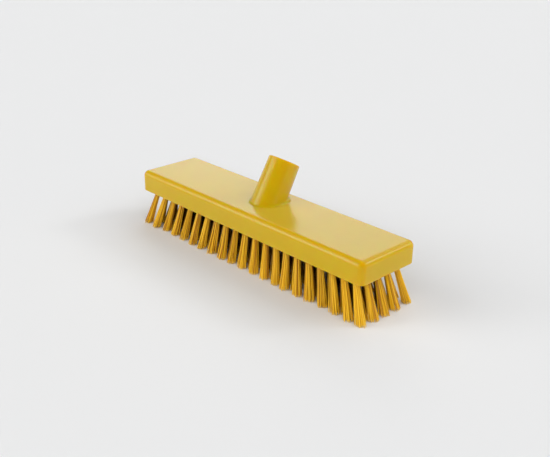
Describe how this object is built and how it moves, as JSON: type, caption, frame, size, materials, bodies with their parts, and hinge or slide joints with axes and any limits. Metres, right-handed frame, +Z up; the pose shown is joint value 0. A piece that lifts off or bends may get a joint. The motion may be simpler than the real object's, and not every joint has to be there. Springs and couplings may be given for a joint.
{
  "type": "deck brush",
  "caption": "Deck scrubbing brush head: moulded plastic block with rounded top edges, a leaning round handle socket and rows of stiff splayed bristle tufts.",
  "frame": {"origin": "on the floor under the middle of the block, where the middle tuft stands", "axes": "+X along the block, +Y across it to the side that the handle socket leans to, +Z up"},
  "size_m": [0.3112, 0.0732, 0.1039],
  "materials": {
    "block_plastic": "satin moulded polypropylene, yellow",
    "bristle": "stiff polyester filament, golden yellow",
    "anchor_steel": "flat stainless steel strip"
  },
  "bodies": {
    "root": {"brush_block": "block_plastic", "front_tuft_row": "bristle", "inner_tuft_rows": "bristle", "rear_tuft_row": "bristle", "anchor_front_01": "anchor_steel", "anchor_front_02": "anchor_steel", "anchor_front_03": "anchor_steel", "anchor_front_04": "anchor_steel", "anchor_front_05": "anchor_steel", "anchor_front_06": "anchor_steel", "anchor_front_07": "anchor_steel", "anchor_front_08": "anchor_steel", "anchor_front_09": "anchor_steel", "anchor_front_10": "anchor_steel", "anchor_front_11": "anchor_steel", "anchor_front_12": "anchor_steel", "anchor_front_13": "anchor_steel", "anchor_front_14": "anchor_steel", "anchor_front_15": "anchor_steel", "anchor_front_16": "anchor_steel", "anchor_front_17": "anchor_steel", "anchor_front_18": "anchor_steel", "anchor_front_19": "anchor_steel", "anchor_front_20": "anchor_steel", "anchor_front_21": "anchor_steel", "anchor_rear_01": "anchor_steel", "anchor_rear_02": "anchor_steel", "anchor_rear_03": "anchor_steel", "anchor_rear_04": "anchor_steel", "anchor_rear_05": "anchor_steel", "anchor_rear_06": "anchor_steel", "anchor_rear_07": "anchor_steel", "anchor_rear_08": "anchor_steel", "anchor_rear_09": "anchor_steel", "anchor_rear_10": "anchor_steel", "anchor_rear_11": "anchor_steel", "anchor_rear_12": "anchor_steel", "anchor_rear_13": "anchor_steel", "anchor_rear_14": "anchor_steel", "anchor_rear_15": "anchor_steel", "anchor_rear_16": "anchor_steel", "anchor_rear_17": "anchor_steel", "anchor_rear_18": "anchor_steel", "anchor_rear_19": "anchor_steel", "anchor_rear_20": "anchor_steel", "anchor_rear_21": "anchor_steel"}
  },
  "joints": []
}
